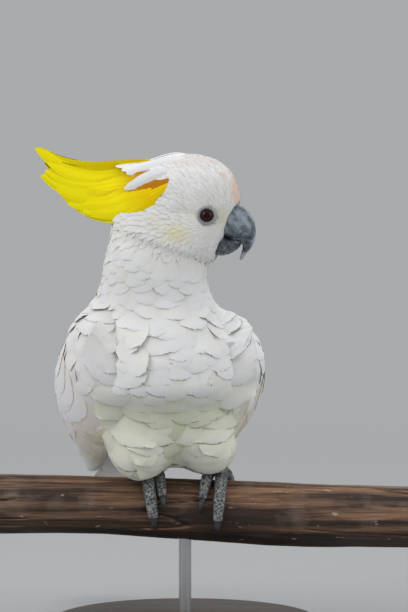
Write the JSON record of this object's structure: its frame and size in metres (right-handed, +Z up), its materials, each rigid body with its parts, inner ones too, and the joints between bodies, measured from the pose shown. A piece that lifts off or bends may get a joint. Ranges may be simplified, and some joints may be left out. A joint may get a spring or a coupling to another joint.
{
  "type": "sulphur-crested cockatoo on a perch",
  "caption": "Life-size sulphur-crested cockatoo, perched upright with folded wings, crest swept back and head turned to its left, on a cut length of branch held by a plain display stand",
  "frame": {"origin": "centre of the stand base's underside, which rests on the table; the rod, and so the middle of the two feet to within a millimetre or so, stands over x = 0", "axes": "+Z is up. The perch runs along X, with +X the end that the bird looks towards. The bird's breast faces -Y, turned a little to +X; its tail points to +Y. +X is on the bird's left."},
  "size_m": [0.36, 0.3312, 0.3948],
  "materials": {
    "plumage": "white contour feathers with a faint cream tone in the gaps, stood in for by a soft matt white",
    "crest_plumes": "clear yellow crest feathers with paler tips",
    "bill_horn": "dark grey horn, powdered with pale down dust",
    "claw_horn": "near-black horn, slightly glossy",
    "eye": "wet, with a red-brown iris and a black pupil",
    "foot_skin": "dark grey scaly skin with pale creases",
    "perch_wood": "weathered brown branch with worn bark, streaked along its length",
    "stand_steel": "brushed round rod",
    "stand_board": "turned disc, stained near black, satin"
  },
  "bodies": {
    "root": {"trunk": "plumage", "neck": "plumage", "head": "plumage", "crest": "crest_plumes", "bill_upper": "bill_horn", "bill_lower": "bill_horn", "eye_left": "eye", "eye_right": "eye", "tail": "plumage", "wing_left": "plumage", "thigh_left": "plumage", "tarsus_left": "foot_skin", "toe_left_1": "foot_skin", "claw_left_1": "claw_horn", "toe_left_2": "foot_skin", "claw_left_2": "claw_horn", "toe_left_3": "foot_skin", "claw_left_3": "claw_horn", "toe_left_4": "foot_skin", "claw_left_4": "claw_horn", "wing_right": "plumage", "thigh_right": "plumage", "tarsus_right": "foot_skin", "toe_right_1": "foot_skin", "claw_right_1": "claw_horn", "toe_right_2": "foot_skin", "claw_right_2": "claw_horn", "toe_right_3": "foot_skin", "claw_right_3": "claw_horn", "toe_right_4": "foot_skin", "claw_right_4": "claw_horn", "perch": "perch_wood", "stand_rod": "stand_steel", "stand_base": "stand_board"}
  },
  "joints": []
}
